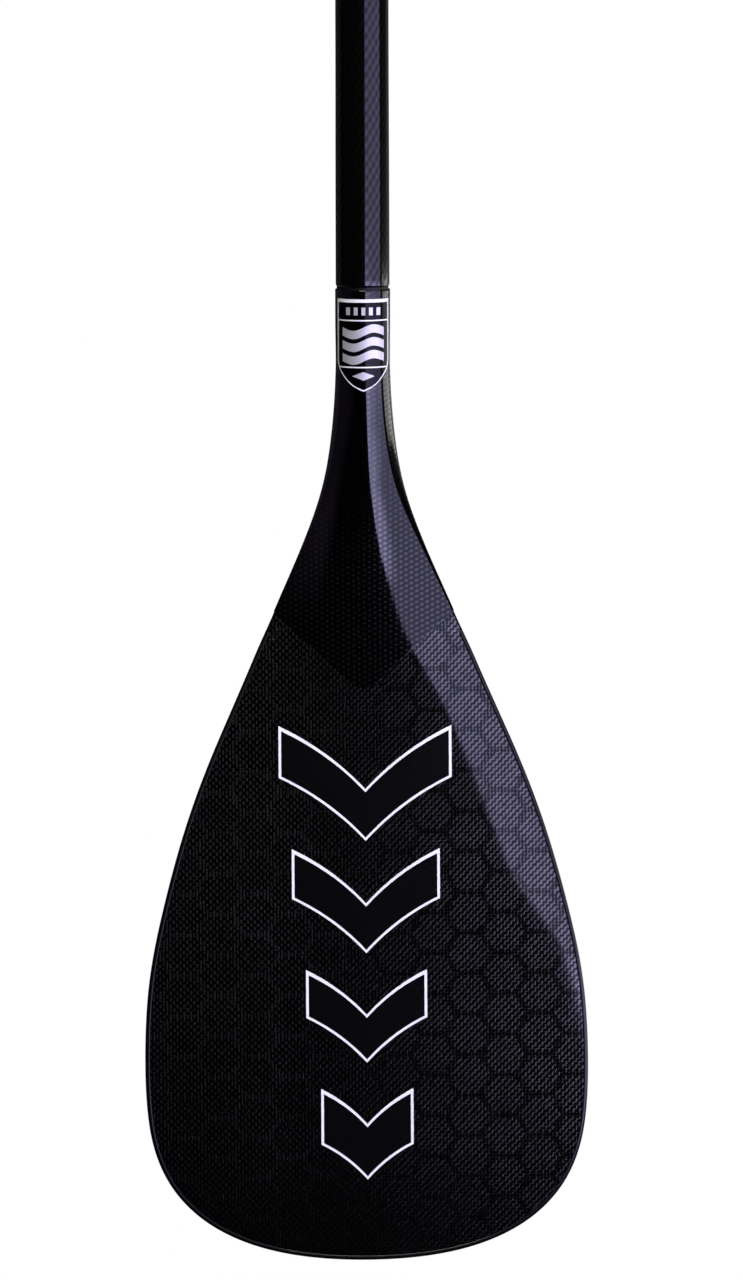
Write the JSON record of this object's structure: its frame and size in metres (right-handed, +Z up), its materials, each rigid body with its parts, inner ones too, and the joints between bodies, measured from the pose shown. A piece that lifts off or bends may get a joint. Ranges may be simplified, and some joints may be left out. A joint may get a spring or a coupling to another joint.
{
  "type": "single blade paddle",
  "caption": "Long straight round shaft with a T-grip at the top and a broad, crowned, ten-degree angled teardrop blade with a tapered neck at the bottom.",
  "frame": {"origin": "centre of the T-grip's bar, on the shaft axis", "axes": "+Z up the shaft axis towards the grip, +X across the blade, -Y out of the blade's graphic side, towards which the blade leans by ten degrees"},
  "size_m": [0.2308, 0.0855, 2.0305],
  "materials": {
    "carbon_blade": "clear-coated carbon plain weave with a honeycomb pattern, satin gloss",
    "carbon_neck": "clear-coated carbon cloth, fine braid, gloss",
    "carbon_shaft": "filament-wrapped carbon with fine twill, satin gloss",
    "carbon_tube": "bare carbon tube",
    "edge_strip": "black moulded edge strip",
    "foam_core": "closed-cell foam",
    "foam_plug": "dark closed-cell foam",
    "glue": "cured adhesive",
    "grip_carbon": "moulded carbon, satin gloss",
    "label_black": "black printed film under clear coat",
    "label_white": "white printed film under clear coat",
    "label_silver": "silver-white printed film under clear coat"
  },
  "bodies": {
    "root": {"blade_front_skin": "carbon_blade", "blade_back_skin": "carbon_blade", "blade_edge_rail": "edge_strip", "blade_spar": "carbon_tube", "blade_core": "foam_core", "neck_front_wrap": "carbon_neck", "neck_back_wrap": "carbon_neck", "spigot_tube": "carbon_tube", "spigot_plug": "foam_plug", "neck_bond": "glue", "shaft_bond": "glue", "shaft_tube": "carbon_shaft", "grip_front_shell": "grip_carbon", "grip_back_shell": "grip_carbon", "grip_core": "foam_core", "grip_neck": "grip_carbon", "grip_stem": "carbon_tube", "stem_plug": "foam_plug", "grip_bond": "glue", "neck_label": "label_black", "neck_label_border": "label_white", "neck_label_emblem": "label_silver", "blade_graphic_fill": "label_black", "blade_graphic_outline": "label_white"}
  },
  "joints": []
}
